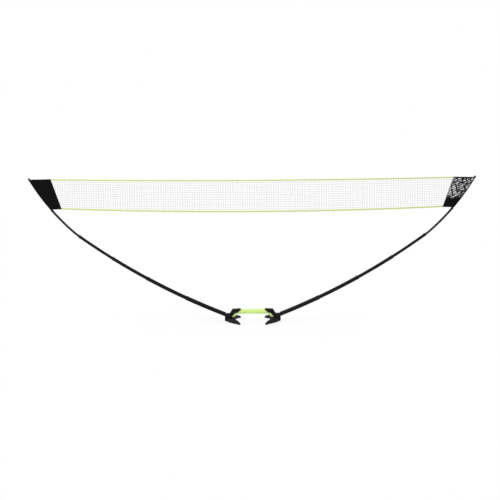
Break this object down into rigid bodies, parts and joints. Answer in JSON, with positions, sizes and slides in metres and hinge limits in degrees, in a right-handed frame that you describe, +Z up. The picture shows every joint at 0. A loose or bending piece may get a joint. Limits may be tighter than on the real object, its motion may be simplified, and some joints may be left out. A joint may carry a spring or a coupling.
{
  "type": "portable free-standing badminton net",
  "caption": "Portable free-standing net for racket games: two telescopic masts rise from a small folding base with a carrying handle and hold a narrow mesh net between their tips.",
  "frame": {"origin": "on the floor, at the middle of the base, midway between the four feet", "axes": "+X along the net, +Y away from the viewer, +Z up"},
  "size_m": [4.8518, 0.4706, 1.5825],
  "materials": {
    "lime_handle": "satin",
    "black_moulding": "satin",
    "dark_steel": "satin",
    "pad_rubber": "matte",
    "mast_tube": "satin",
    "mast_fitting": "matte",
    "springy_rod": "satin",
    "sleeve_cloth": "matte",
    "net_twine": "matte",
    "lime_tape": "matte"
  },
  "bodies": {
    "root": {"carry_handle": "lime_handle", "left_hub_front": "black_moulding", "left_hub_rear": "black_moulding", "right_hub_front": "black_moulding", "right_hub_rear": "black_moulding", "hub_screws": "dark_steel", "mast_pins": "dark_steel", "foot_pins": "dark_steel"},
    "left_mast_1": {"left_mast_knuckle": "mast_fitting", "left_mast_tube_1": "mast_tube", "left_ferrule_1": "mast_fitting"},
    "left_mast_2": {"left_mast_tube_2": "mast_tube", "left_ferrule_2": "mast_fitting", "left_bush_2": "mast_fitting"},
    "left_mast_3": {"left_mast_tube_3": "mast_tube", "left_ferrule_3": "mast_fitting", "left_bush_3": "mast_fitting"},
    "left_mast_4": {"left_mast_tube_4": "mast_tube", "left_ferrule_4": "mast_fitting", "left_bush_4": "mast_fitting"},
    "left_mast_5": {"left_mast_rod_5": "springy_rod", "left_ferrule_5": "mast_fitting"},
    "left_mast_6": {"left_mast_rod_6": "springy_rod", "left_tip_cap": "mast_fitting", "left_end_sleeve": "sleeve_cloth"},
    "right_mast_1": {"right_mast_knuckle": "mast_fitting", "right_mast_tube_1": "mast_tube", "right_ferrule_1": "mast_fitting"},
    "right_mast_2": {"right_mast_tube_2": "mast_tube", "right_ferrule_2": "mast_fitting", "right_bush_2": "mast_fitting"},
    "right_mast_3": {"right_mast_tube_3": "mast_tube", "right_ferrule_3": "mast_fitting", "right_bush_3": "mast_fitting"},
    "right_mast_4": {"right_mast_tube_4": "mast_tube", "right_ferrule_4": "mast_fitting", "right_bush_4": "mast_fitting"},
    "right_mast_5": {"right_mast_rod_5": "springy_rod", "right_ferrule_5": "mast_fitting"},
    "right_mast_6": {"right_mast_rod_6": "springy_rod", "right_tip_cap": "mast_fitting", "right_end_sleeve": "sleeve_cloth"},
    "net": {"net_mesh": "net_twine", "top_tape": "lime_tape", "bottom_tape": "lime_tape"},
    "front_left_foot": {"front_left_foot": "black_moulding", "front_left_pads": "pad_rubber"},
    "front_right_foot": {"front_right_foot": "black_moulding", "front_right_pads": "pad_rubber"},
    "rear_left_foot": {"rear_left_foot": "black_moulding", "rear_left_pads": "pad_rubber"},
    "rear_right_foot": {"rear_right_foot": "black_moulding", "rear_right_pads": "pad_rubber"}
  },
  "joints": [
    {"name": "left_mast_fold", "type": "hinge", "parent": "root", "child": "left_mast_1", "pos_m": [-0.262, 0, 0.065], "axis": [0, 1, 0], "range_deg": [0, 60]},
    {"name": "left_tube_2_slide", "type": "hinge", "parent": "left_mast_1", "child": "left_mast_2", "pos_m": [2.3417, 0, 6.77773], "axis": [0, -1, 0], "range_deg": [0, 2.79]},
    {"name": "left_tube_3_slide", "type": "hinge", "parent": "left_mast_2", "child": "left_mast_3", "pos_m": [2.3417, 0, 6.77773], "axis": [0, -1, 0], "range_deg": [0, 3.27]},
    {"name": "left_tube_4_slide", "type": "hinge", "parent": "left_mast_3", "child": "left_mast_4", "pos_m": [2.3417, 0, 6.77773], "axis": [0, -1, 0], "range_deg": [0, 3.21]},
    {"name": "left_rod_5_slide", "type": "hinge", "parent": "left_mast_4", "child": "left_mast_5", "pos_m": [-0.90508, 0, 2.23082], "axis": [0, -1, 0], "range_deg": [0, 13.57], "deforming": ["left_mast_rod_5"]},
    {"name": "left_rod_6_slide", "type": "hinge", "parent": "left_mast_5", "child": "left_mast_6", "pos_m": [-0.34322, 0, 2.7848], "axis": [0, -1, 0], "range_deg": [0, 9.57], "deforming": ["left_mast_rod_6", "left_end_sleeve"]},
    {"name": "right_mast_fold", "type": "hinge", "parent": "root", "child": "right_mast_1", "pos_m": [0.262, 0, 0.065], "axis": [0, -1, 0], "range_deg": [0, 60]},
    {"name": "right_tube_2_slide", "type": "hinge", "parent": "right_mast_1", "child": "right_mast_2", "pos_m": [-2.3417, 0, 6.77773], "axis": [0, 1, 0], "range_deg": [0, 2.79]},
    {"name": "right_tube_3_slide", "type": "hinge", "parent": "right_mast_2", "child": "right_mast_3", "pos_m": [-2.3417, 0, 6.77773], "axis": [0, 1, 0], "range_deg": [0, 3.27]},
    {"name": "right_tube_4_slide", "type": "hinge", "parent": "right_mast_3", "child": "right_mast_4", "pos_m": [-2.3417, 0, 6.77773], "axis": [0, 1, 0], "range_deg": [0, 3.21]},
    {"name": "right_rod_5_slide", "type": "hinge", "parent": "right_mast_4", "child": "right_mast_5", "pos_m": [0.90508, 0, 2.23082], "axis": [0, 1, 0], "range_deg": [0, 13.57], "deforming": ["right_mast_rod_5"]},
    {"name": "right_rod_6_slide", "type": "hinge", "parent": "right_mast_5", "child": "right_mast_6", "pos_m": [0.34322, 0, 2.7848], "axis": [0, 1, 0], "range_deg": [0, 9.57], "deforming": ["right_mast_rod_6", "right_end_sleeve"]},
    {"name": "net_lower", "type": "slide", "parent": "root", "child": "net", "axis": [0, 0, -1], "range_m": [0, 0.88], "deforming": ["net_mesh", "top_tape", "bottom_tape"]},
    {"name": "front_left_foot_fold", "type": "hinge", "parent": "root", "child": "front_left_foot", "pos_m": [-0.268, -0.05, 0.025], "axis": [0, 0, 1], "range_deg": [0, 54.05]},
    {"name": "front_right_foot_fold", "type": "hinge", "parent": "root", "child": "front_right_foot", "pos_m": [0.268, -0.05, 0.025], "axis": [0, 0, -1], "range_deg": [0, 54.05]},
    {"name": "rear_left_foot_fold", "type": "hinge", "parent": "root", "child": "rear_left_foot", "pos_m": [-0.268, 0.05, 0.025], "axis": [0, 0, -1], "range_deg": [0, 54.05]},
    {"name": "rear_right_foot_fold", "type": "hinge", "parent": "root", "child": "rear_right_foot", "pos_m": [0.268, 0.05, 0.025], "axis": [0, 0, 1], "range_deg": [0, 54.05]}
  ],
  "couplings": [
    {"joint": "left_tube_2_slide", "follows": "left_mast_fold", "ratio": 0.046553},
    {"joint": "left_tube_3_slide", "follows": "left_mast_fold", "ratio": 0.054511},
    {"joint": "left_tube_4_slide", "follows": "left_mast_fold", "ratio": 0.053582},
    {"joint": "left_rod_5_slide", "follows": "left_mast_fold", "ratio": 0.22623},
    {"joint": "left_rod_6_slide", "follows": "left_mast_fold", "ratio": 0.15955},
    {"joint": "right_mast_fold", "follows": "left_mast_fold", "ratio": 1},
    {"joint": "right_tube_2_slide", "follows": "left_mast_fold", "ratio": 0.046553},
    {"joint": "right_tube_3_slide", "follows": "left_mast_fold", "ratio": 0.054511},
    {"joint": "right_tube_4_slide", "follows": "left_mast_fold", "ratio": 0.053582},
    {"joint": "right_rod_5_slide", "follows": "left_mast_fold", "ratio": 0.22623},
    {"joint": "right_rod_6_slide", "follows": "left_mast_fold", "ratio": 0.15955},
    {"joint": "net_lower", "follows": "left_mast_fold", "m_per_rad": 0.84034}
  ]
}
